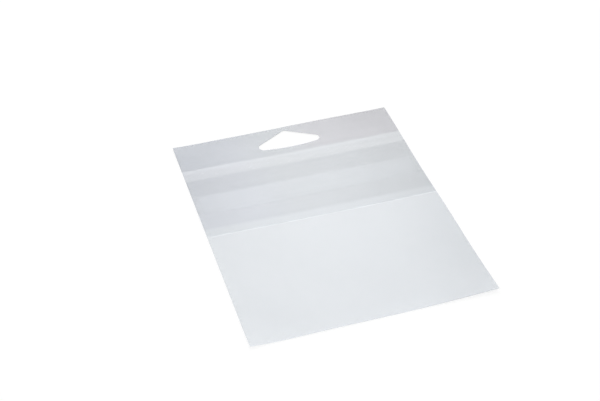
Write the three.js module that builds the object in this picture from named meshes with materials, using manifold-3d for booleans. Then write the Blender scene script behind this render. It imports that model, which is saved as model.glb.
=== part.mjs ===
// Header bag of clear film, empty and lying on its back, with the flap closed over the mouth.
// Millimetres. +Y runs up to the header and its hang hole, +Z is up, z = 0 is the back of the bag.
import * as THREE from "three";
import { mergeVertices } from "three/addons/utils/BufferGeometryUtils.js";
import Module from "manifold-3d";

// Bag
const bagWidth = 115;
const bagLength = 153;
const filmThickness = 0.06;
const plyGap = 0.12;
const sideWeldWidth = 2;

// Header and the seal below it, both measured down from the top fold
const headerDepth = 22.3;
const headerPlies = 4;
const sealDepth = 6.7;
const sealPlies = 2;
const sealStep = 2;

// Mouth of the front panel, measured down from the lower edge of the seal
const mouthSetback = 2.2;

// Flap, measured down from the lower edge of the seal
const flapLength = 47.1;
const flapRise = 1.2;

// Run over which the flap comes down from the closure strip to its free edge
const flapRamp = 9;

// Closure strip under the flap: adhesive with its release liner
const linerDepth = 14.4;
const linerThickness = 0.05;
const linerToFlapEdge = 16.8;
const adhesiveDepth = 10;
const adhesiveThickness = 0.05;
const stripEndClearance = 0.5;

// Hang hole: a low triangle with round corners and a bowed base, punched a little right of the middle
const holeWidth = 32.2;
const holeHeight = 14.6;
const holeToTopFold = 3.1;
const holeOffCentre = 0.8;
const holeTipRadius = 2.75;
const holeApexRadius = 2;
const holeBaseRadius = 90;
const holeCutReach = 1;

const arcSteps = 10;
const mergeReach = 1e-4;

const wasm = await Module();
wasm.setup();

// Levels of the plies above the table
const backTop = filmThickness;
const frontBottom = backTop + plyGap;
const frontTop = frontBottom + filmThickness;
const flapBottom = frontTop + plyGap;
const flapTop = flapBottom + filmThickness;
const linerBottom = frontTop + plyGap;
const linerTop = linerBottom + linerThickness;
const adhesiveTop = linerTop + adhesiveThickness;
const ridgeTop = adhesiveTop + filmThickness;
const headerTop = headerPlies * filmThickness;
const sealTop = sealPlies * filmThickness;

// Stations down the bag, from the top fold
const topEdge = bagLength / 2;
const bottomEdge = -bagLength / 2;
const headerEnd = topEdge - headerDepth;
const sealEnd = headerEnd - sealDepth;
const mouthEdge = sealEnd - mouthSetback;
const flapEdge = sealEnd - flapLength;
const linerLow = flapEdge + linerToFlapEdge;
const linerHigh = linerLow + linerDepth;
const headerFoldRadius = headerTop / 2;
const bottomFoldRadius = frontTop / 2;
const headerFoldCentre = topEdge - headerFoldRadius;
const bottomFoldCentre = bottomEdge + bottomFoldRadius;

// Outside of the bag along its length, from the back of the header over the flap to its free edge
function beginAtHeader() {
  const outline = new THREE.Shape();
  outline.moveTo(headerFoldCentre, 0);
  outline.absarc(headerFoldCentre, headerFoldRadius, headerFoldRadius, -Math.PI / 2, Math.PI / 2, false);
  outline.lineTo(headerEnd, headerTop);
  outline.lineTo(headerEnd - sealStep, sealTop);
  outline.lineTo(sealEnd, sealTop);
  outline.lineTo(sealEnd - flapRise, flapTop);
  outline.lineTo(linerHigh, ridgeTop);
  outline.lineTo(linerLow, ridgeTop);
  outline.lineTo(linerLow - flapRamp, flapTop);
  outline.lineTo(flapEdge, flapTop);
  return outline;
}

// Section through the pocket: one web of film from the flap's free edge round to the mouth
function webSection() {
  const outline = beginAtHeader();
  outline.lineTo(flapEdge, flapBottom);
  outline.lineTo(linerLow - flapRamp, flapBottom);
  outline.lineTo(linerLow, adhesiveTop);
  outline.lineTo(linerHigh, adhesiveTop);
  outline.lineTo(sealEnd - flapRise, flapBottom);
  outline.lineTo(sealEnd, backTop);
  outline.lineTo(bottomFoldCentre, backTop);
  outline.absarc(bottomFoldCentre, bottomFoldRadius, plyGap / 2, -Math.PI / 2, Math.PI / 2, true);
  outline.lineTo(mouthEdge, frontBottom);
  outline.lineTo(mouthEdge, frontTop);
  outline.lineTo(bottomFoldCentre, frontTop);
  outline.absarc(bottomFoldCentre, bottomFoldRadius, bottomFoldRadius, Math.PI / 2, Math.PI * 1.5, false);
  outline.closePath();
  return outline;
}

// Section through a side weld, where every ply is melted into one
function weldSection() {
  const outline = beginAtHeader();
  outline.lineTo(flapEdge, frontTop);
  outline.lineTo(bottomFoldCentre, frontTop);
  outline.absarc(bottomFoldCentre, bottomFoldRadius, bottomFoldRadius, Math.PI / 2, Math.PI * 1.5, false);
  outline.closePath();
  return outline;
}

// Outline of the hang hole; its sides are the outer tangents of the apex and tip circles
function holeOutline() {
  const apexY = topEdge - holeToTopFold - holeApexRadius;
  const lowestY = topEdge - holeToTopFold - holeHeight;
  const tipX = holeWidth / 2 - holeTipRadius;
  const baseY = lowestY + holeBaseRadius;
  const tipY = baseY - Math.sqrt((holeBaseRadius - holeTipRadius) ** 2 - tipX ** 2);
  const reach = Math.hypot(tipX, apexY - tipY);
  const sideTurn = Math.atan2(tipY - apexY, tipX) + Math.acos((holeApexRadius - holeTipRadius) / reach);
  const baseTurn = Math.atan2(tipY - baseY, tipX);
  const outline = new THREE.Shape();
  outline.absarc(tipX, tipY, holeTipRadius, baseTurn, sideTurn, false);
  outline.absarc(0, apexY, holeApexRadius, sideTurn, Math.PI - sideTurn, false);
  outline.absarc(-tipX, tipY, holeTipRadius, Math.PI - sideTurn, Math.PI - baseTurn, false);
  outline.absarc(0, baseY, holeBaseRadius, Math.PI - baseTurn, Math.PI * 2 + baseTurn, false);
  outline.closePath();
  return outline;
}

// Run a lengthwise section across the bag, between two places on X
function across(section, fromX, toX) {
  const settings = { depth: toX - fromX, bevelEnabled: false, curveSegments: arcSteps };
  const shape = new THREE.ExtrudeGeometry(section, settings);
  const turn = new THREE.Matrix4().makeBasis(
    new THREE.Vector3(0, 1, 0),
    new THREE.Vector3(0, 0, 1),
    new THREE.Vector3(1, 0, 0),
  );
  shape.applyMatrix4(turn);
  shape.translate(fromX, 0, 0);
  return shape;
}

function solidFrom(geometry) {
  const bare = geometry.clone();
  bare.deleteAttribute("normal");
  bare.deleteAttribute("uv");
  const merged = mergeVertices(bare, mergeReach);
  const vertProperties = new Float32Array(merged.attributes.position.array);
  const triVerts = new Uint32Array(merged.index.array);
  return new wasm.Manifold(new wasm.Mesh({ numProp: 3, vertProperties, triVerts }));
}

function geometryFrom(solid) {
  const mesh = solid.getMesh();
  const geometry = new THREE.BufferGeometry();
  geometry.setAttribute("position", new THREE.BufferAttribute(new Float32Array(mesh.vertProperties), 3));
  geometry.setIndex(new THREE.BufferAttribute(new Uint32Array(mesh.triVerts), 1));
  return geometry;
}

function filmBag() {
  const weldInner = bagWidth / 2 - sideWeldWidth;
  const web = solidFrom(across(webSection(), -bagWidth / 2, bagWidth / 2));
  const leftWeld = solidFrom(across(weldSection(), -bagWidth / 2, -weldInner));
  const rightWeld = solidFrom(across(weldSection(), weldInner, bagWidth / 2));
  const cutDepth = headerTop + 2 * holeCutReach;
  const punch = new THREE.ExtrudeGeometry(holeOutline(), {
    depth: cutDepth,
    bevelEnabled: false,
    curveSegments: arcSteps,
  });
  punch.translate(holeOffCentre, 0, -holeCutReach);
  return geometryFrom(web.add(leftWeld).add(rightWeld).subtract(solidFrom(punch)));
}

// A flat strip lying across the pocket between the side welds
function strip(depth, middleY, bottomZ, thickness) {
  const length = bagWidth - 2 * (sideWeldWidth + stripEndClearance);
  const shape = new THREE.BoxGeometry(length, depth, thickness);
  shape.translate(0, middleY, bottomZ + thickness / 2);
  return shape;
}

function piece(name, geometry, color, roughness) {
  geometry.deleteAttribute("normal");
  geometry.deleteAttribute("uv");
  const material = new THREE.MeshStandardMaterial({ color, roughness, metalness: 0 });
  const mesh = new THREE.Mesh(mergeVertices(geometry, mergeReach), material);
  mesh.name = name;
  return mesh;
}

const stripMiddle = (linerLow + linerHigh) / 2;
const liner = strip(linerDepth, stripMiddle, linerBottom, linerThickness);
const adhesive = strip(adhesiveDepth, stripMiddle, linerTop, adhesiveThickness);
const bag = new THREE.Group();
bag.name = "header_bag";
bag.add(piece("film_bag", filmBag(), 0xdce2e6, 0.4));
bag.add(piece("release_liner", liner, 0xf1f4f7, 0.5));
bag.add(piece("adhesive_strip", adhesive, 0xeef2f5, 0.35));

export default bag;
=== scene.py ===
"""Header bag of hazy clear film, empty and lying on its back, on a plain studio floor."""

import math

import bmesh
import bpy
from bpy.props import FloatProperty, FloatVectorProperty, IntProperty, PointerProperty
from mathutils import Matrix, Vector


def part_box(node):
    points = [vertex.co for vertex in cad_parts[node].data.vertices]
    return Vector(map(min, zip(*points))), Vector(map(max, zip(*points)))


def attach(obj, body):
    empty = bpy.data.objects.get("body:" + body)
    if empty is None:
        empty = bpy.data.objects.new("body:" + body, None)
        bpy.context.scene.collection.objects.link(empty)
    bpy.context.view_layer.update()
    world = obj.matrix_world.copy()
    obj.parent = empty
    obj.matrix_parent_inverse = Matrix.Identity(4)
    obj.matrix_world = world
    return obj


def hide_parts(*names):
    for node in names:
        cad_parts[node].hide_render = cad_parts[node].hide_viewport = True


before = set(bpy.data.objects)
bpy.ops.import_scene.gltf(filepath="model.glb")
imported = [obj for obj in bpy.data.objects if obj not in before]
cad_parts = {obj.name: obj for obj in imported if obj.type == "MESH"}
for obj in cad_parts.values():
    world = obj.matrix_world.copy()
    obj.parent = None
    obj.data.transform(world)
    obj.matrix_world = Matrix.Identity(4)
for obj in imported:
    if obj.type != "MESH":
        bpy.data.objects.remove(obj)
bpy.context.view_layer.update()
FILM_LOW, FILM_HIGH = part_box("film_bag")
LINER_LOW, LINER_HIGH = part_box("release_liner")
ADHESIVE_LOW, ADHESIVE_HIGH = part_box("adhesive_strip")

bl_info = {
    "name": "Header Bag",
    "version": (1, 0, 0),
    "blender": (4, 5, 0),
    "location": "View3D > Sidebar > Header Bag",
    "description": "Builds a flat film bag with a punched header, a closing flap and its studio stage",
    "category": "Add Mesh",
}

BODY = "root"

# Plies folded into the header, steps round each fold, and the reach of the punch in plies
HEADER_PLIES = 4
BOTTOM_FOLD_STEPS = 6
HEADER_FOLD_STEPS = 4
PUNCH_PLIES = 20

# Slant of the gentle waves in the film, then the closeness and slant of the waves that cross them
RIPPLE_SLANT = 0.35
CROSS_RIPPLE = 0.7
CROSS_SLANT = 0.2

# An edge runs along an axis when this share of its length does
ALONG_AXIS = 0.9
ROUNDING = 1e-6
CRISP_ANGLE = math.radians(40)

# Noise in the finishes, in features to the metre along X, Y and Z
WAVER_SCALE = (26.0, 14.0, 14.0)
BREAK_SCALE = (75.0, 30.0, 30.0)
GLINT_SCALE = (320.0, 800.0, 320.0)
STREAK_SCALE = (12.0, 420.0, 12.0)
HAZE_SCALE = (90.0, 45.0, 45.0)
CLOUD_SCALE = (22.0, 30.0, 30.0)
GRAIN_SCALE = (900.0, 2600.0, 900.0)
STRIP_SCALE = (60.0, 240.0, 60.0)
NOISE_MIDDLE = 0.5
NOISE_DETAIL = 2.0
GRAIN_DETAIL = 3.0

# Level from which a noise shows and the softness of that change
BREAK_LEVEL = (0.48, 0.3)
GLINT_LEVEL = (0.66, 0.14)

# Share of the flap's painted highlight line that is left where it breaks
LINE_LEAST = 0.4

# Run of the soft change between two bands, from the flap's free edge up to the header, in metres
FREE_EDGE_SOFT = 0.0002
CLING_SOFT = 0.003
STRIP_LOW_SOFT = 0.002
STRIP_HIGH_SOFT = 0.0035
MOUTH_SOFT = 0.0045
SEAL_SOFT = 0.0035
STRIP_ENDS_SOFT = 0.003

# How far inside the strip's lower edge its band begins, and the share of the seal's step above its band
STRIP_SETBACK = 0.0003
SEAL_STEP_SHARE = 0.75

# Changes across the bag: the middle and the run of each, as shares of the width from the middle
# RIGHT_SIDE and HEADER_RIGHT place painted shade; FOLD_LINE_END places the end of the painted fold
# highlight
RIGHT_SIDE = (0.32, 0.36)
HEADER_RIGHT = (0.2, 0.5)
FOLD_LINE_END = (0.26, 0.2)
STRIP_END = (0.4, 0.16)
SHEEN_LEFT = (-0.3, 0.3)
SHEEN_RIGHT = (0.12, 0.3)
LOW_SHEEN_LEFT = (-0.4, 0.1)
LOW_SHEEN_RIGHT = (0.3, 0.2)
WARM_START = (0.05, 0.2)
COOL_END = (-0.17, 0.22)

# Share of the bottom fold's painted highlight line that goes on the right, where it ends in a little
# painted shade
FOLD_LINE_LOSS = 1.3

# Share of the top fold's shade that the left of the header has
TOP_FALL_LEAST = 0.5

# Surface of the film and the strip
FILM_IOR = 1.5
HAZE_ROUGHNESS = 0.06
GRAIN_STRENGTH = 0.12
GRAIN_HEIGHT = 0.0002
STRIP_CLOUD = 0.05
STRIP_CLOUD_ROUGHNESS = 0.1

# Stage, in metres: the floor, then the size, place and aim of each light
FLOOR_REACH = 3.0
FLOOR_DROP = 0.0001
BACK_LIGHT_SIZE = (0.42, 0.9)
BACK_LIGHT_PLACE = Vector((0.318, 1.11, 1.026))
BACK_LIGHT_AIM = Vector((0.0, 0.05, 0.0))
FRONT_LIGHT_SIZE = (0.6, 0.6)
FRONT_LIGHT_PLACE = Vector((-0.7, -0.5, 0.9))
FRONT_LIGHT_AIM = Vector((0.0, 0.0, 0.0))

# Share of the floor's white that a full shadow takes, and the light that falls on the open floor
FLOOR_SHADE = 0.22
LIGHT_ON_FLOOR = 0.9

SENSOR_WIDTH = 36.0
CLIP_START = 0.01


def length(name, default, description):
    """A size in metres, shown with enough digits for thin film."""
    return FloatProperty(
        name=name, description=description, default=default, min=0.0, precision=5, unit="LENGTH"
    )


def share(name, default, description):
    """A share from none to all."""
    return FloatProperty(
        name=name, description=description, default=default, min=0.0, max=1.0, subtype="FACTOR"
    )


def slant(name, default, description):
    """A rise along the bag for each metre across it."""
    return FloatProperty(name=name, description=description, default=default, precision=4)


def tone(name, default, description):
    """How light a stretch of film is, next to the film's own colour."""
    return FloatProperty(name=name, description=description, default=default, min=0.0, max=2.0)


def angle(name, degrees, description):
    """An angle, given in degrees."""
    return FloatProperty(
        name=name, description=description, default=math.radians(degrees), subtype="ANGLE"
    )


def power(name, default, description):
    """The power of a light."""
    return FloatProperty(name=name, description=description, default=default, min=0.0, unit="POWER")


def colour(name, default, description):
    """A plain surface colour."""
    return FloatVectorProperty(
        name=name, description=description, default=default, size=3, min=0.0, max=1.0, subtype="COLOR"
    )


def group(name, kind):
    """A group of settings, described in its own words."""
    return PointerProperty(name=name, description=kind.__doc__, type=kind)


class FilmSizes(bpy.types.PropertyGroup):
    """Sizes of the folded and welded film"""

    width: length("Width", FILM_HIGH.x - FILM_LOW.x, "Width of the bag over both side welds")
    height: length("Length", FILM_HIGH.y - FILM_LOW.y, "Length of the bag from bottom fold to top fold")
    gauge: length("Film Gauge", 0.00006, "Thickness of one ply of film")
    ply_gap: length("Ply Gap", 0.00012, "Air left between two plies that lie on each other")
    pressed_gap: length("Pressed Gap", 0.00001, "Air left between plies that are pressed or welded")
    header_depth: length("Header Depth", 0.0223, "Depth of the header below the top fold")
    seal_depth: length("Seal Depth", 0.0067, "Depth of the welded band under the header")
    seal_step: length("Seal Step", 0.0028, "Run of the step from the header down to the seal")
    mouth_setback: length("Mouth Setback", 0.0022, "Distance from the seal to the front panel's mouth")
    mouth_rise: length("Mouth Rise", 0.006, "Run over which the front panel comes up from its mouth")
    flap_length: length("Flap Length", 0.0471, "Length of the flap from the seal to its free edge")
    flap_rise: length("Flap Rise", 0.006, "Run over which the flap comes up from the seal")
    flap_ramp: length("Flap Ramp", 0.009, "Run over which the flap comes down from the closure strip")
    cling_depth: length("Cling Depth", 0.0051, "Depth of the band that clings along the flap's free edge")
    side_weld: length("Side Weld", 0.002, "Width of the weld along each side")
    weld_taper: length("Weld Taper", 0.03, "Run over which the plies come together at a side weld")
    fold_row: length("Fold Row", 0.0003, "Distance from a fold to the row of faces that keeps it tight")
    mesh_step: length("Mesh Step", 0.0025, "Largest face on the film")


class HoleSizes(bpy.types.PropertyGroup):
    """Sizes of the hang hole, a low triangle with round corners and a bowed base"""

    width: length("Width", 0.0322, "Width of the hang hole")
    height: length("Height", 0.0146, "Height of the hang hole")
    to_top_fold: length("To Top Fold", 0.0031, "Film left between the apex of the hole and the top fold")
    off_centre: length("Off Centre", 0.0008, "Distance of the hole to the right of the middle")
    tip_radius: length("Tip Radius", 0.00275, "Radius of the two lower corners")
    apex_radius: length("Apex Radius", 0.002, "Radius of the upper corner")
    base_radius: length("Base Radius", 0.09, "Radius of the bowed base")
    arc_steps: IntProperty(name="Arc Steps", description="Steps along each round corner", default=14, min=3)


class LieOfFilm(bpy.types.PropertyGroup):
    """How the empty bag lies on the table"""

    header_right: length("Header Right Lift", 0.0002, "Lift of the right corner of the header")
    header_left: length("Header Left Lift", 0.0004, "Lift of the left corner of the header")
    bottom_right: length("Bottom Right Lift", 0.0013, "Lift of the right bottom corner")
    bottom_left: length("Bottom Left Lift", 0.0009, "Lift of the left bottom corner")
    long_reach: length("Right Reach", 0.045, "How far a lift on the right reaches into the bag")
    short_reach: length("Left Reach", 0.02, "How far a lift on the left reaches into the bag")
    header_bow: length("Header Bow", 0.0001, "Lift of the middle of the top fold")
    ripple: length("Ripple", 0.00012, "Height of the gentle waves in the film")
    ripple_run: length("Ripple Run", 0.062, "Length of the gentle waves in the film")
    askew: slant("Askew", 0.012, "Slant of the seal, the flap and the strip across the bag")
    band_bow: length("Band Bow", 0.0005, "How far the bands run higher at both sides than in the middle")
    waist: length("Waist", 0.0004, "How far the right side weld draws in beside the flap")
    waist_reach: length("Waist Reach", 0.042, "How far the drawing in reaches up and down the bag")


class FilmLook(bpy.types.PropertyGroup):
    """Colour and surface of the film and of the closure strip"""

    film: colour("Film", (0.812, 0.849, 0.89), "Colour of the hazy film")
    cool_film: colour("Cool Film", (0.81, 0.845, 0.909), "Colour of the film at the upper left")
    warm_film: colour("Warm Film", (0.84, 0.843, 0.89), "Colour of the film at the right of the header")
    cover: share("Cover", 0.36, "Share of the light that one face of the film stops")
    roughness: share("Roughness", 0.3, "Roughness of the film")
    header_tone: tone("Header Tone", 0.934, "Lightness of the header")
    seal_tone: tone("Seal Tone", 0.86, "Lightness of the seal under the header")
    mouth_tone: tone("Mouth Tone", 0.888, "Lightness of the flap over the mouth, above the closure strip")
    strip_tone: tone("Strip Tone", 0.897, "Lightness of the flap over the closure strip")
    flap_tone: tone("Flap Tone", 0.95, "Lightness of the flap below the closure strip")
    cling_tone: tone("Cling Tone", 1.035, "Lightness of the flap where it clings to the front panel")
    body_tone: tone("Body Tone", 0.99, "Lightness of the pocket below the flap")
    # Painted highlight lines along the flap's free edge and the bottom fold
    edge_highlight: share("Edge Gain", 0.14, "How much lighter the flap's free edge and the bottom fold are")
    edge_reach: length("Edge Reach", 0.0007, "Width of the light line along the flap's free edge")
    rim_fall: share("Rim Fall", 0.06, "How much darker the rims of the side welds are")
    rim_reach: length("Rim Reach", 0.0007, "Width of the dark rim along each side weld")
    fold_fall: share("Fold Fall", 0.03, "How much darker the top fold is")
    fold_reach: length("Fold Reach", 0.0015, "How far the top fold's darkness reaches into the header")
    # Painted glints, the light caught by the seal's crimped weld
    seal_glint: share("Fleck", 0.08, "How much lighter the flecks in the seal are")
    # Painted shade, where the light falls off towards the right, the top fold and the right of the header
    right_fall: share("Right Fall", 0.027, "How much darker the film is towards its right side")
    flap_fall: share("Flap Fall", 0.038, "How much darker still the flap and the header are on the right")
    header_right_shade: share("Warm Fall", 0.02, "How much darker the header is on the right")
    top_fall: share("Top Fall", 0.045, "How much darker the right of the header is towards the top fold")
    strip_fall: share("Strip Fall", 0.025, "How much darker the closure strip is towards its ends")
    strip_blend: share("Strip Blend", 0.05, "How much lighter the welds beside the closure strip are")
    flap_sheen: share("Flap Sheen", 0.025, "How much lighter the middle of the flap is")
    low_sheen: share("Low Sheen", 0.03, "How much lighter the middle of the bag is by the bottom fold")
    low_reach: length("Low Reach", 0.012, "How far the light by the bottom fold reaches up")
    streak: share("Streak", 0.03, "How much the film's lightness varies in streaks along the bands")
    haze: share("Haze", 0.02, "How much the film's lightness varies in small patches")
    cloud: share("Cloud", 0.03, "How much the film's lightness varies in large patches")
    cling_slant: slant("Cling Slant", 0.005, "Slant of the clinging band's upper edge to the free edge")
    band_waver: length("Band Waver", 0.0015, "How far the soft edges of the bands wander")
    liner: colour("Liner", (0.85, 0.865, 0.88), "Colour of the release liner")
    liner_cover: share("Liner Cover", 0.95, "Share of the light that one face of the liner stops")
    adhesive: colour("Adhesive", (0.85, 0.865, 0.88), "Colour of the adhesive")
    adhesive_cover: share("Adhesive Cover", 0.95, "Share of the light that one face of the adhesive stops")
    strip_roughness: share("Strip Roughness", 0.5, "Roughness of the release liner and the adhesive")


class StageSettings(bpy.types.PropertyGroup):
    """Camera and light of the studio stage"""

    azimuth: angle("Azimuth", 15.43, "Turn of the view to the right of +Y")
    elevation: angle("Elevation", 38.12, "How steeply the camera looks down")
    roll: angle("Roll", 2.11, "Lean of the camera to its right")
    distance: length("Distance", 0.6542, "Distance from the camera to the point it looks at")
    look_at: FloatVectorProperty(
        name="Look At",
        description="Point on the table in the middle of the picture",
        default=(-0.00785, 0.01458, 0.0),
        size=3,
        precision=5,
        subtype="TRANSLATION",
    )
    focal: FloatProperty(
        name="Focal Length", description="Lens in millimetres", default=80.66, min=1.0, unit="CAMERA"
    )
    world_light: share("World Light", 0.65, "Strength of the even light from all round")
    back_light: power("Back Light", 8.2, "Power of the large light behind the bag")
    front_light: power("Front Light", 2.0, "Power of the light beside the camera")
    floor: colour("Floor", (0.92, 0.92, 0.92), "Colour of the floor")


class BagSettings(bpy.types.PropertyGroup):
    """Everything about the header bag that can be set"""

    sizes: group("Film Sizes", FilmSizes)
    hole: group("Hang Hole", HoleSizes)
    lie: group("Lie", LieOfFilm)
    look: group("Look", FilmLook)
    stage: group("Stage", StageSettings)


class Value:
    """A number socket in a material; arithmetic on it adds Math nodes."""

    def __init__(self, finish, socket):
        self.finish = finish
        self.socket = socket

    def math(self, operation, first, second):
        made = self.finish.node("ShaderNodeMath", {"operation": operation}, {0: first, 1: second})
        return Value(self.finish, made.outputs[0])

    def __add__(self, other):
        return self.math("ADD", self, other)

    def __radd__(self, other):
        return self.math("ADD", other, self)

    def __sub__(self, other):
        return self.math("SUBTRACT", self, other)

    def __rsub__(self, other):
        return self.math("SUBTRACT", other, self)

    def __mul__(self, other):
        return self.math("MULTIPLY", self, other)

    def __rmul__(self, other):
        return self.math("MULTIPLY", other, self)


class Finish:
    """A node material under construction."""

    def __init__(self, name):
        self.material = bpy.data.materials.new(name)
        self.material.use_nodes = True
        self.tree = self.material.node_tree
        self.tree.nodes.clear()

    def node(self, kind, options=None, inputs=None):
        """A new node, with its options set first and then the values or links of its sockets."""
        made = self.tree.nodes.new(kind)
        for key, option in (options or {}).items():
            setattr(made, key, option)
        for key, given in (inputs or {}).items():
            self.feed(made.inputs[key], given)
        return made

    def feed(self, socket, given):
        if isinstance(given, Value):
            given = given.socket
        if isinstance(given, bpy.types.NodeSocket):
            self.tree.links.new(given, socket)
        else:
            socket.default_value = given

    def place(self):
        """The object's own coordinates."""
        return self.node("ShaderNodeTexCoord").outputs["Object"]

    def past(self, value, edge, soft):
        """0 before an edge and 1 past it, with a soft change between."""
        made = self.node(
            "ShaderNodeMapRange",
            {"interpolation_type": "SMOOTHSTEP"},
            {"Value": value, "From Min": edge - soft / 2, "From Max": edge + soft / 2},
        )
        return Value(self, made.outputs["Result"])

    def noise(self, where, scale, detail=NOISE_DETAIL):
        """Soft noise from 0 to 1, stretched along the axes."""
        moved = self.node("ShaderNodeMapping", None, {"Vector": where, "Scale": scale})
        made = self.node(
            "ShaderNodeTexNoise", None, {"Vector": moved.outputs[0], "Scale": 1.0, "Detail": detail}
        )
        return Value(self, made.outputs["Fac"])

    def sway(self, where, scale):
        """Soft noise that swings about zero."""
        return self.noise(where, scale) - NOISE_MIDDLE

    def mix(self, amount, first, second):
        """A colour between two others."""
        made = self.node("ShaderNodeMix", {"data_type": "RGBA"}, {0: amount, 6: first, 7: second})
        return made.outputs[2]

    def shade(self, base, by):
        """A colour made lighter or darker."""
        made = self.node("ShaderNodeVectorMath", {"operation": "SCALE"}, {0: base, "Scale": by})
        return made.outputs[0]

    def bump(self, height, strength, distance):
        made = self.node(
            "ShaderNodeBump", None, {"Height": height, "Strength": strength, "Distance": distance}
        )
        return made.outputs["Normal"]

    def surface(self, **sockets):
        """The finished material; a socket such as Base Color is given as Base_Color."""
        named = {key.replace("_", " "): given for key, given in sockets.items()}
        return self.close(self.node("ShaderNodeBsdfPrincipled", None, named))

    def close(self, shader):
        """Put a shader on the surface and hand over the material."""
        self.node("ShaderNodeOutputMaterial", None, {"Surface": shader.outputs[0]})
        return self.material


def bag_settings():
    return bpy.context.scene.header_bag


def stations(sizes):
    """Where each band of the bag begins and ends along Y."""
    top = sizes.height / 2
    header_end = top - sizes.header_depth
    seal_end = header_end - sizes.seal_depth
    return {
        "top": top,
        "bottom": -sizes.height / 2,
        "header_end": header_end,
        "seal_end": seal_end,
        "mouth": seal_end - sizes.mouth_setback,
        "flap_edge": seal_end - sizes.flap_length,
        "strip_low": LINER_LOW.y,
        "strip_high": LINER_HIGH.y,
    }


def eased(amount):
    """A share from none to all, slow at both ends."""
    amount = min(1.0, max(0.0, amount))
    return amount * amount * (3.0 - 2.0 * amount)


def lie_height(lie, sizes, x, y):
    """How far the bag stands off the table at a place on it."""
    half_width = sizes.width / 2
    half_length = sizes.height / 2
    corners = (
        (half_width, half_length, lie.header_right, lie.long_reach),
        (-half_width, half_length, lie.header_left, lie.short_reach),
        (half_width, -half_length, lie.bottom_right, lie.long_reach),
        (-half_width, -half_length, lie.bottom_left, lie.short_reach),
    )
    height = 0.0
    for corner_x, corner_y, lift, reach in corners:
        near = max(0.0, 1.0 - math.hypot(x - corner_x, y - corner_y) / reach)
        height += lift * near ** 2
    near_fold = max(0.0, 1.0 - (half_length - y) / lie.long_reach)
    height += lie.header_bow * near_fold ** 2 * math.cos(math.pi * x / sizes.width) ** 2
    turn = math.tau / lie.ripple_run
    wave = math.sin(turn * (x + RIPPLE_SLANT * y))
    cross_wave = math.sin(turn * CROSS_RIPPLE * (y - CROSS_SLANT * x))
    height += lie.ripple * (1.0 + wave * cross_wave)
    return height


def askew_share(sizes, y):
    """How much of the bands' slant a place down the bag has; the top and bottom folds have none."""
    at = stations(sizes)
    below_top = (at["top"] - y) / (at["top"] - at["header_end"])
    above_bottom = (y - at["bottom"]) / (at["flap_edge"] - at["bottom"])
    return min(1.0, below_top, above_bottom)


def waist_share(lie, sizes, y):
    """How much of the right side's drawing in a place down the bag has, most at the flap's middle."""
    at = stations(sizes)
    middle = (at["seal_end"] + at["flap_edge"]) / 2
    return eased(1.0 - abs(y - middle) / lie.waist_reach)


def fold_turn(y, start, end, middle_radius, outward, steps):
    """Middle line of a fold from one level to another, bulging up or down the bag."""
    points = []
    for step in range(1, steps):
        turned = math.pi * step / steps
        level = tuple((a + b) / 2 + (a - b) / 2 * math.cos(turned) for a, b in zip(start, end))
        points.append((y + outward * middle_radius * math.sin(turned), *level))
    return points


def straight(start, end, level, row):
    """Middle line of a flat stretch, with a row close to each end so that the bend there stays short."""
    inward = math.copysign(row, end - start)
    return [(y, *level) for y in (start, start + inward, end - inward, end)]


def pressed_at(sizes, x):
    """How far the plies have come together at a place across the bag, from loose to welded."""
    weld_inner = sizes.width / 2 - sizes.side_weld
    return eased((abs(x) - weld_inner + sizes.weld_taper) / sizes.weld_taper)


def strip_drop(sizes):
    """How far the closure strip sinks where the plies come together."""
    return LINER_LOW.z - (sizes.gauge + sizes.pressed_gap) * 2


def web_line(sizes):
    """Middle line of the web, from the mouth round to the free edge of the flap.

    Each point is a place along Y, the level where the plies lie loose, and the level where
    they are welded.
    """
    at = stations(sizes)
    gauge = sizes.gauge
    pitch = gauge + sizes.pressed_gap
    ply = [(rank + 0.5) * pitch for rank in range(HEADER_PLIES)]
    front = gauge * 1.5 + sizes.ply_gap
    flap = gauge * 2.5 + sizes.ply_gap * 2
    cling = front + pitch
    ridge = ADHESIVE_HIGH.z + gauge / 2
    low_ridge = ridge - strip_drop(sizes)
    bottom_radius = (front - ply[0]) / 2
    fold_radius = pitch / 2
    bottom = at["bottom"] + bottom_radius + gauge / 2
    top = at["top"] - fold_radius - gauge / 2
    hem = at["header_end"] + fold_radius + gauge / 2
    row = sizes.fold_row
    over_mouth = ply[1] + (flap - ply[1]) * sizes.mouth_setback / sizes.flap_rise
    line = [(at["mouth"], ply[1], ply[1])]
    line += straight(at["mouth"] - sizes.mouth_rise, bottom, (front, ply[1]), row)
    line += fold_turn(bottom, (front, ply[1]), (ply[0], ply[0]), bottom_radius, -1, BOTTOM_FOLD_STEPS)
    header_runs = ((bottom, top, 1), (top, hem, -1), (hem, top, 1))
    for rank, (start, end, outward) in enumerate(header_runs):
        here = (ply[rank], ply[rank])
        there = (ply[rank + 1], ply[rank + 1])
        line += straight(start, end, here, row)
        line += fold_turn(end, here, there, fold_radius, outward, HEADER_FOLD_STEPS)
    line += straight(top, at["header_end"], (ply[3], ply[3]), row)
    line += [
        (at["header_end"] - sizes.seal_step, ply[1], ply[1]),
        (at["seal_end"], ply[1], ply[1]),
        (at["mouth"], over_mouth, ply[2]),
        (at["seal_end"] - sizes.flap_rise, flap, ply[2]),
    ]
    line += straight(at["strip_high"], at["strip_low"], (ridge, low_ridge), row)
    line += [
        (at["strip_low"] - sizes.flap_ramp, flap, ply[2]),
        (at["flap_edge"] + sizes.cling_depth, cling, ply[2]),
        (at["flap_edge"], cling, ply[2]),
    ]
    return line


def developed_length(sizes):
    """Length of the web when it is folded out flat."""
    line = web_line(sizes)
    return sum(math.dist(a[:2], b[:2]) for a, b in zip(line, line[1:]))


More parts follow.
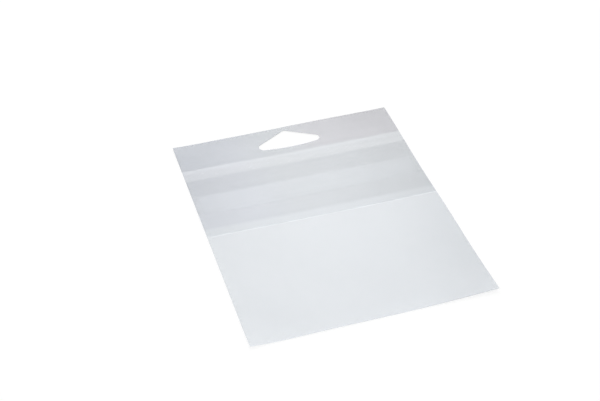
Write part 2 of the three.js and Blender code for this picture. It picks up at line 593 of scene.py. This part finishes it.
def subdivide_long(bm, axis, step):
    """Split the edges along one axis until none is longer than a step."""
    by_cuts = {}
    for edge in bm.edges:
        run = edge.verts[1].co - edge.verts[0].co
        if abs(run[axis]) > run.length * ALONG_AXIS:
            cuts = math.ceil(run.length / step - ROUNDING) - 1
            if cuts > 0:
                by_cuts.setdefault(cuts, []).append(edge)
    for cuts, edges in sorted(by_cuts.items()):
        bmesh.ops.subdivide_edges(bm, edges=edges, cuts=cuts, use_grid_fill=True)


def web_sheet(sizes):
    """The web as a single sheet, folded and lying flat."""
    bm = bmesh.new()
    loose = bm.verts.layers.float.new("loose")
    welded = bm.verts.layers.float.new("welded")
    half = sizes.width / 2
    verts = []
    for y, loose_z, welded_z in web_line(sizes):
        vert = bm.verts.new((-half, y, loose_z))
        vert[loose] = loose_z
        vert[welded] = welded_z
        verts.append(vert)
    edges = [bm.edges.new(pair) for pair in zip(verts, verts[1:])]
    weld_inner = half - sizes.side_weld
    open_from = weld_inner - sizes.weld_taper
    places = [-half, -weld_inner, -open_from, open_from, weld_inner, half]
    for here, there in zip(places, places[1:]):
        grown = bmesh.ops.extrude_edge_only(bm, edges=edges)["geom"]
        moved = [item for item in grown if isinstance(item, bmesh.types.BMVert)]
        bmesh.ops.translate(bm, verts=moved, vec=(there - here, 0, 0))
        edges = [item for item in grown if isinstance(item, bmesh.types.BMEdge)]
        edges = [edge for edge in edges if all(vert in moved for vert in edge.verts)]
    subdivide_long(bm, 0, sizes.mesh_step)
    subdivide_long(bm, 1, sizes.mesh_step)
    for vert in bm.verts:
        vert.co.z = vert[loose] + (vert[welded] - vert[loose]) * pressed_at(sizes, vert.co.x)
    bmesh.ops.recalc_face_normals(bm, faces=bm.faces)
    return bm


def arc(centre, radius, start, end, steps):
    """Points along a round corner."""
    turns = [start + (end - start) * step / steps for step in range(steps + 1)]
    return [(centre[0] + radius * math.cos(a), centre[1] + radius * math.sin(a)) for a in turns]


def hole_outline(sizes, hole):
    """Outline of the hang hole; its sides are the outer tangents of the apex and tip circles."""
    top = sizes.height / 2
    apex_y = top - hole.to_top_fold - hole.apex_radius
    lowest_y = top - hole.to_top_fold - hole.height
    tip_x = hole.width / 2 - hole.tip_radius
    base_y = lowest_y + hole.base_radius
    tip_y = base_y - math.sqrt((hole.base_radius - hole.tip_radius) ** 2 - tip_x ** 2)
    reach = math.hypot(tip_x, apex_y - tip_y)
    side = math.atan2(tip_y - apex_y, tip_x) + math.acos((hole.apex_radius - hole.tip_radius) / reach)
    base = math.atan2(tip_y - base_y, tip_x)
    steps = hole.arc_steps
    middle = hole.off_centre
    points = arc((middle + tip_x, tip_y), hole.tip_radius, base, side, steps)
    points += arc((middle, apex_y), hole.apex_radius, side, math.pi - side, steps)
    points += arc((middle - tip_x, tip_y), hole.tip_radius, math.pi - side, math.pi - base, steps)
    points += arc((middle, base_y), hole.base_radius, math.pi - base, math.tau + base, steps)[1:-1]
    return points


def punch_solid(sizes, hole):
    """The punch that cuts the hang hole through the header."""
    reach = sizes.gauge * PUNCH_PLIES
    bm = bmesh.new()
    rim = [bm.verts.new((x, y, -reach)) for x, y in hole_outline(sizes, hole)]
    face = bm.faces.new(rim)
    grown = bmesh.ops.extrude_face_region(bm, geom=[face])["geom"]
    top = [item for item in grown if isinstance(item, bmesh.types.BMVert)]
    bmesh.ops.translate(bm, verts=top, vec=(0, 0, reach * 2))
    bmesh.ops.recalc_face_normals(bm, faces=bm.faces)
    return object_from(bm, "hang_hole_punch")


def object_from(bm, name):
    """A new object in the scene that holds the mesh."""
    mesh = bpy.data.meshes.new(name)
    bm.to_mesh(mesh)
    bm.free()
    made = bpy.data.objects.new(name, mesh)
    bpy.context.scene.collection.objects.link(made)
    return made


def apply_modifiers(piece):
    """Keep the mesh that the modifiers give, and drop them."""
    bpy.context.view_layer.update()
    seen = piece.evaluated_get(bpy.context.evaluated_depsgraph_get())
    mesh = bpy.data.meshes.new_from_object(seen)
    piece.modifiers.clear()
    old = piece.data
    piece.data = mesh
    mesh.name = piece.name
    bpy.data.meshes.remove(old)


def lay_down(piece, sizes, lie):
    """Let the piece follow the lie of the bag on the table."""
    half = sizes.width / 2
    for vert in piece.data.vertices:
        x, y, z = vert.co
        drawn_in = waist_share(lie, sizes, y) * lie.waist / half
        moved = askew_share(sizes, y) * (lie.band_bow * (x / half) ** 2 - lie.askew * x)
        vert.co = (x - max(0.0, x) * drawn_in, y + moved, z + lie_height(lie, sizes, x, y))
    piece.data.update()


def smooth(piece):
    """Smooth faces, with the sharp edges kept crisp."""
    piece.data.polygons.foreach_set("use_smooth", [True] * len(piece.data.polygons))
    piece.data.set_sharp_from_angle(angle=CRISP_ANGLE)


class FilmFinish(Finish):
    """The film's material, with the places on the bag that its lightness and colour follow.

    The station is the place along the bag, measured square to the askew and bowed bands. The
    wavering station wanders a little, for the soft edges of the bands.
    """

    def __init__(self, bag):
        super().__init__("hazy_film")
        self.sizes = bag.sizes
        self.look = bag.look
        self.at = stations(bag.sizes)
        self.half = bag.sizes.width / 2
        self.where = self.place()
        parts = self.node("ShaderNodeSeparateXYZ", None, {0: self.where})
        self.x = Value(self, parts.outputs["X"])
        self.y = Value(self, parts.outputs["Y"])
        bow = bag.lie.band_bow / self.half ** 2
        self.station = self.y + self.x * bag.lie.askew - self.x * self.x * bow
        self.wavering = self.station + self.sway(self.where, WAVER_SCALE) * self.look.band_waver
        self.over_flap = self.past(self.station, self.at["flap_edge"], self.look.edge_reach)

    def right_of(self, change):
        """0 to the left of a change across the bag and 1 to the right of it."""
        middle, run = change
        return self.past(self.x, self.sizes.width * middle, self.sizes.width * run)

    def near_sides(self, edge, soft):
        """0 in the middle of the bag and 1 past the same edge on either side."""
        return self.past(self.x, edge, soft) + 1.0 - self.past(self.x, -edge, soft)

    def band_tones(self):
        """Lightness of each band, from the pocket up to the header."""
        at = self.at
        look = self.look
        slanted = self.wavering + self.x * look.cling_slant
        cling_top = at["flap_edge"] + self.sizes.cling_depth
        seal_top = at["header_end"] - self.sizes.seal_step * SEAL_STEP_SHARE
        bands = (
            (self.station, at["flap_edge"], FREE_EDGE_SOFT, look.cling_tone),
            (slanted, cling_top, CLING_SOFT, look.flap_tone),
            (self.station, at["strip_low"] + STRIP_SETBACK, STRIP_LOW_SOFT, look.strip_tone),
            (self.wavering, at["strip_high"], STRIP_HIGH_SOFT, look.mouth_tone),
            (self.wavering, at["mouth"], MOUTH_SOFT, look.seal_tone),
            (self.wavering, seal_top, SEAL_SOFT, look.header_tone),
        )
        light = look.body_tone
        below = look.body_tone
        for along, edge, soft, above in bands:
            light = light + self.past(along, edge, soft) * (above - below)
            below = above
        return light

    def edge_lines(self):
        """Painted highlights on the flap's free edge and the bottom fold, painted shade at the fold's right
        end; dark other edges.
        """
        at = self.at
        look = self.look
        reach = look.edge_reach
        # Painted highlight along the flap's free edge
        free_edge_highlight = self.past(self.station, at["flap_edge"] - reach, reach)
        free_edge_highlight = free_edge_highlight - self.past(self.station, at["flap_edge"] + reach / 4, reach / 2)
        broken = self.past(self.noise(self.where, BREAK_SCALE), *BREAK_LEVEL)
        free_edge_highlight = free_edge_highlight * (broken + LINE_LEAST)
        # Painted highlight along the bottom fold, turning to painted shade at its right end
        fold_highlight = 1.0 - self.past(self.y, at["bottom"] + reach / 2, reach)
        fold_highlight = fold_highlight * (1.0 - self.right_of(FOLD_LINE_END) * FOLD_LINE_LOSS)
        rims = self.near_sides(self.half - look.rim_reach / 2, look.rim_reach)
        top_fold = self.past(self.y, at["top"] - look.fold_reach, look.fold_reach * 2)
        light = (free_edge_highlight + fold_highlight) * look.edge_highlight
        return light - rims * look.rim_fall - top_fold * look.fold_fall

    def seal_glints(self):
        """Painted glints in the seal under the header, where light catches its crimped weld."""
        step = self.sizes.seal_step
        seal = self.past(self.wavering, self.at["mouth"], step)
        seal = seal - self.past(self.wavering, self.at["header_end"] - step, step)
        glints = self.past(self.noise(self.where, GLINT_SCALE), *GLINT_LEVEL)
        return seal * glints * self.look.seal_glint

    def strip_ends(self):
        """Darker ends of the closure strip, and the lighter welds beside them."""
        look = self.look
        width = self.sizes.width
        middle, run = STRIP_END
        on_strip = self.past(self.wavering, self.at["strip_low"], STRIP_ENDS_SOFT)
        on_strip = on_strip - self.past(self.wavering, self.at["strip_high"], STRIP_HIGH_SOFT)
        near_ends = self.near_sides(width * middle, width * run)
        beside = self.near_sides(LINER_HIGH.x, self.sizes.side_weld / 2)
        return on_strip * (beside * look.strip_blend - near_ends * look.strip_fall)

    def sheens(self):
        """Light in the middle of the flap, and in the middle of the bag by the bottom fold."""
        look = self.look
        on_flap = self.over_flap - self.past(self.station, self.at["mouth"], MOUTH_SOFT)
        in_middle = self.right_of(SHEEN_LEFT) - self.right_of(SHEEN_RIGHT)
        low = 1.0 - self.past(self.y, self.at["bottom"] + look.low_reach / 2, look.low_reach)
        off_sides = self.right_of(LOW_SHEEN_LEFT) - self.right_of(LOW_SHEEN_RIGHT)
        return on_flap * in_middle * look.flap_sheen + low * off_sides * look.low_sheen

    def falls(self):
        """Painted shade towards the right side and the top fold, where the light falls off."""
        look = self.look
        depth = self.sizes.header_depth
        right_fall = look.right_fall + self.over_flap * look.flap_fall
        upper = self.past(self.y, self.at["top"] - depth / 2, depth)
        top_fall = upper * (self.right_of(HEADER_RIGHT) + TOP_FALL_LEAST) * look.top_fall
        return self.right_of(RIGHT_SIDE) * right_fall + top_fall

    def patches(self, haze):
        """Streaks along the bands, and small and large patches all over."""
        look = self.look
        streak = self.sway(self.where, STREAK_SCALE)
        cloud = self.sway(self.where, CLOUD_SCALE)
        return streak * self.over_flap * look.streak + haze * look.haze + cloud * look.cloud

    def warmth(self):
        """How much of the warm colour, and of the painted shade with it, a place has, most at the right of
        the header.
        """
        on_header = self.past(self.station, self.at["header_end"], self.sizes.seal_step)
        return on_header * self.right_of(WARM_START)

    def coolness(self):
        """How much of the cool colour a place has, most at the left above the clinging band."""
        depth = self.sizes.cling_depth
        above_cling = self.past(self.station, self.at["flap_edge"] + depth, depth)
        return above_cling * (1.0 - self.right_of(COOL_END))


def film_finish(bag):
    """Hazy film with a soft sheen, a little darker wherever more plies lie on each other."""
    look = bag.look
    finish = FilmFinish(bag)
    warmth = finish.warmth()
    haze = finish.sway(finish.where, HAZE_SCALE)
    grain = finish.noise(finish.where, GRAIN_SCALE, GRAIN_DETAIL)
    light = finish.band_tones() + finish.edge_lines() + finish.seal_glints() + finish.strip_ends()
    light = light + finish.sheens() + finish.patches(haze)
    # Painted shade towards the right, the top fold and the right of the header
    light = light - finish.falls() - warmth * look.header_right_shade
    base = finish.mix(finish.coolness(), (*look.film, 1.0), (*look.cool_film, 1.0))
    base = finish.mix(warmth, base, (*look.warm_film, 1.0))
    return finish.surface(
        Base_Color=finish.shade(base, light),
        Roughness=look.roughness + haze * HAZE_ROUGHNESS,
        IOR=FILM_IOR,
        Alpha=look.cover,
        Normal=finish.bump(grain, GRAIN_STRENGTH, GRAIN_HEIGHT),
    )


def strip_finish(name, base, cover, roughness):
    """Smooth coated strip with a faint cloudiness."""
    finish = Finish(name)
    cloud = finish.sway(finish.place(), STRIP_SCALE)
    return finish.surface(
        Base_Color=finish.shade(base, 1.0 + cloud * STRIP_CLOUD),
        Roughness=roughness + cloud * STRIP_CLOUD_ROUGHNESS,
        Alpha=cover,
    )


def closure_strip(bag, name, low, high, material):
    """A thin strip between two corners, following the lie of the bag."""
    bm = bmesh.new()
    bmesh.ops.create_cube(bm, size=1.0)
    skin = Vector((0, 0, bag.sizes.pressed_gap))
    bmesh.ops.scale(bm, verts=bm.verts, vec=high - low - skin)
    bmesh.ops.translate(bm, verts=bm.verts, vec=(low + high) / 2)
    subdivide_long(bm, 0, bag.sizes.mesh_step)
    subdivide_long(bm, 1, bag.sizes.mesh_step)
    for vert in bm.verts:
        vert.co.z -= strip_drop(bag.sizes) * pressed_at(bag.sizes, vert.co.x)
    piece = object_from(bm, name)
    lay_down(piece, bag.sizes, bag.lie)
    piece.data.materials.append(material)
    smooth(piece)
    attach(piece, BODY)
    return piece


class HEADERBAG_OT_film_bag(bpy.types.Operator):
    """Fold and weld the film, punch the hang hole and lay the bag down"""

    bl_idname = "header_bag.film_bag"
    bl_label = "Film Bag"

    def execute(self, context):
        bag = bag_settings()
        sizes = bag.sizes
        film = object_from(web_sheet(sizes), "film")
        punch = punch_solid(sizes, bag.hole)
        wall = film.modifiers.new("gauge", "SOLIDIFY")
        wall.thickness = sizes.gauge
        wall.offset = 0.0
        cut = film.modifiers.new("hang_hole", "BOOLEAN")
        cut.operation = "DIFFERENCE"
        cut.solver = "EXACT"
        cut.object = punch
        apply_modifiers(film)
        bpy.data.objects.remove(punch)
        lay_down(film, sizes, bag.lie)
        film.data.materials.clear()
        film.data.materials.append(film_finish(bag))
        smooth(film)
        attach(film, BODY)
        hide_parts("film_bag")
        developed_length(sizes)
        return {"FINISHED"}


class HEADERBAG_OT_release_liner(bpy.types.Operator):
    """Lay the release liner under the flap"""

    bl_idname = "header_bag.release_liner"
    bl_label = "Release Liner"

    def execute(self, context):
        bag = bag_settings()
        look = bag.look
        material = strip_finish("release_film", look.liner, look.liner_cover, look.strip_roughness)
        liner = closure_strip(bag, "liner", LINER_LOW, LINER_HIGH, material)
        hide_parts("release_liner")
        return {"FINISHED"}


class HEADERBAG_OT_adhesive_strip(bpy.types.Operator):
    """Put the adhesive strip on the inside of the flap"""

    bl_idname = "header_bag.adhesive_strip"
    bl_label = "Adhesive Strip"

    def execute(self, context):
        bag = bag_settings()
        look = bag.look
        material = strip_finish("tacky_coating", look.adhesive, look.adhesive_cover, look.strip_roughness)
        adhesive = closure_strip(bag, "adhesive", ADHESIVE_LOW, ADHESIVE_HIGH, material)
        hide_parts("adhesive_strip")
        return {"FINISHED"}


def floor_finish(base):
    """White where the camera looks, with the bag's shadow kept, and a pale floor for all other light."""
    finish = Finish("studio_floor")
    path = finish.node("ShaderNodeLightPath").outputs
    seen = Value(finish, path["Is Camera Ray"]) + Value(finish, path["Is Glossy Ray"])
    seen = seen + Value(finish, path["Is Transmission Ray"])
    grey = (FLOOR_SHADE, FLOOR_SHADE, FLOOR_SHADE, 1.0)
    plain = finish.node("ShaderNodeBsdfDiffuse", None, {"Color": (*base, 1.0)})
    shadow = finish.node("ShaderNodeBsdfDiffuse", None, {"Color": grey})
    glow = finish.node("ShaderNodeEmission", None, {"Strength": 1.0 - FLOOR_SHADE * LIGHT_ON_FLOOR})
    white = finish.node("ShaderNodeAddShader", None, {0: shadow.outputs[0], 1: glow.outputs[0]})
    return finish.close(finish.node(
        "ShaderNodeMixShader", None, {0: seen, 1: plain.outputs[0], 2: white.outputs[0]}
    ))


def make_floor(base):
    bm = bmesh.new()
    bmesh.ops.create_grid(bm, x_segments=1, y_segments=1, size=FLOOR_REACH)
    bmesh.ops.translate(bm, verts=bm.verts, vec=(0, 0, -FLOOR_DROP))
    floor = object_from(bm, "floor")
    floor.data.materials.append(floor_finish(base))


def area_light(name, watts, size, place, aim):
    lamp = bpy.data.lights.new(name, "AREA")
    lamp.energy = watts
    lamp.shape = "RECTANGLE"
    lamp.size, lamp.size_y = size
    made = bpy.data.objects.new(name, lamp)
    made.location = place
    made.rotation_euler = (aim - place).to_track_quat("-Z", "Y").to_euler()
    bpy.context.scene.collection.objects.link(made)


def make_world(strength):
    world = bpy.data.worlds.new("studio")
    world.use_nodes = True
    background = world.node_tree.nodes["Background"].inputs
    background["Color"].default_value = (1.0, 1.0, 1.0, 1.0)
    background["Strength"].default_value = strength
    bpy.context.scene.world = world


def make_camera(stage):
    ahead = Vector((
        math.sin(stage.azimuth) * math.cos(stage.elevation),
        math.cos(stage.azimuth) * math.cos(stage.elevation),
        -math.sin(stage.elevation),
    ))
    level_right = ahead.cross(Vector((0, 0, 1))).normalized()
    level_up = level_right.cross(ahead)
    right = level_right * math.cos(stage.roll) - level_up * math.sin(stage.roll)
    up = level_up * math.cos(stage.roll) + level_right * math.sin(stage.roll)
    turn = Matrix((right, up, -ahead)).transposed().to_4x4()
    lens = bpy.data.cameras.new("camera")
    lens.lens = stage.focal
    lens.sensor_width = SENSOR_WIDTH
    lens.clip_start = CLIP_START
    camera = bpy.data.objects.new("camera", lens)
    camera.matrix_world = Matrix.Translation(Vector(stage.look_at) - ahead * stage.distance) @ turn
    bpy.context.scene.collection.objects.link(camera)
    bpy.context.scene.camera = camera


class HEADERBAG_OT_stage(bpy.types.Operator):
    """Set the floor, the lights and the camera"""

    bl_idname = "header_bag.stage"
    bl_label = "Stage"

    def execute(self, context):
        stage = bag_settings().stage
        context.scene.view_settings.view_transform = "Standard"
        make_world(stage.world_light)
        make_floor(stage.floor)
        area_light("back_light", stage.back_light, BACK_LIGHT_SIZE, BACK_LIGHT_PLACE, BACK_LIGHT_AIM)
        area_light("front_light", stage.front_light, FRONT_LIGHT_SIZE, FRONT_LIGHT_PLACE, FRONT_LIGHT_AIM)
        make_camera(stage)
        return {"FINISHED"}


OPERATORS = (
    HEADERBAG_OT_stage,
    HEADERBAG_OT_film_bag,
    HEADERBAG_OT_release_liner,
    HEADERBAG_OT_adhesive_strip,
)


class HEADERBAG_PT_panel(bpy.types.Panel):
    """Lists the steps that build the header bag"""

    bl_idname = "HEADERBAG_PT_panel"
    bl_label = "Header Bag"
    bl_space_type = "VIEW_3D"
    bl_region_type = "UI"
    bl_category = "Header Bag"

    def draw(self, context):
        for operator in OPERATORS:
            self.layout.operator(operator.bl_idname)


CLASSES = (
    FilmSizes,
    HoleSizes,
    LieOfFilm,
    FilmLook,
    StageSettings,
    BagSettings,
    *OPERATORS,
    HEADERBAG_PT_panel,
)


def register():
    for made in CLASSES:
        bpy.utils.register_class(made)
    bpy.types.Scene.header_bag = group("Header Bag", BagSettings)


def unregister():
    del bpy.types.Scene.header_bag
    for made in reversed(CLASSES):
        bpy.utils.unregister_class(made)


def main():
    register()
    bpy.ops.header_bag.stage()
    bpy.ops.header_bag.film_bag()
    bpy.ops.header_bag.release_liner()
    bpy.ops.header_bag.adhesive_strip()


if __name__ == "__main__":
    main()
